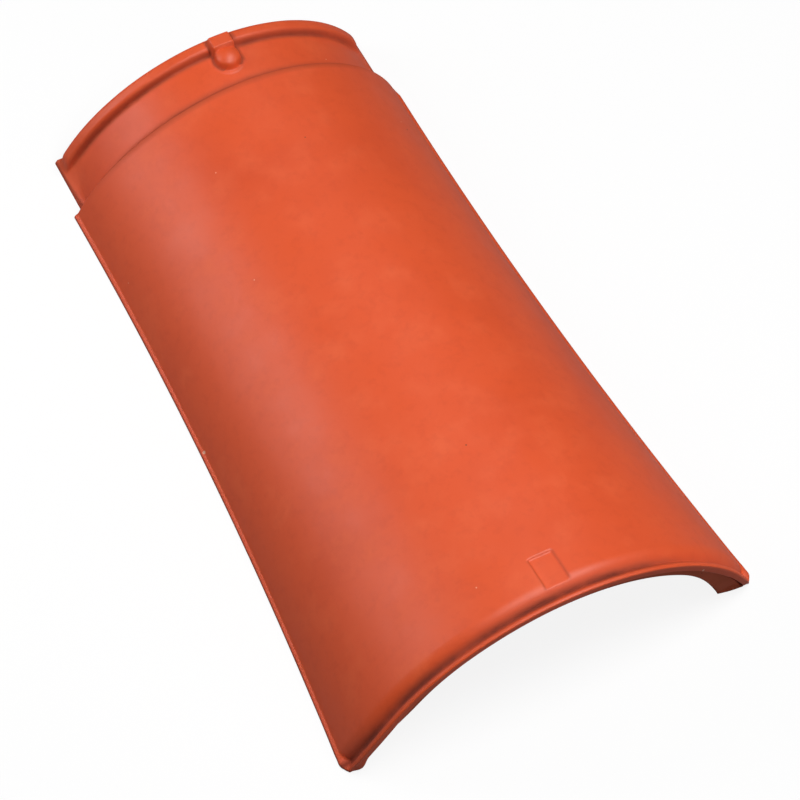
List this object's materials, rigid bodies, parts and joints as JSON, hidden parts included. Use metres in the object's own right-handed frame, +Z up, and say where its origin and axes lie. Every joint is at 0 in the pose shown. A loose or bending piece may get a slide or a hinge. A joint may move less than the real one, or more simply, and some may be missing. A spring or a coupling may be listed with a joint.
{
  "type": "clay ridge tile",
  "caption": "Tapered half-round clay ridge tile with a beaded mouth, a stepped head collar with rim and nib, and thin ledges along its resting edges.",
  "frame": {"origin": "centre of the bounding box at the level of the resting edges", "axes": "+Y along the ridge towards the head with its collar and nib, -Y towards the beaded mouth, +X across, +Z up"},
  "size_m": [0.2728, 0.4446, 0.098],
  "materials": {
    "fired_clay": "matt, smooth pressed and fired red clay"
  },
  "bodies": {
    "root": {"ridge_tile": "fired_clay"}
  },
  "joints": []
}
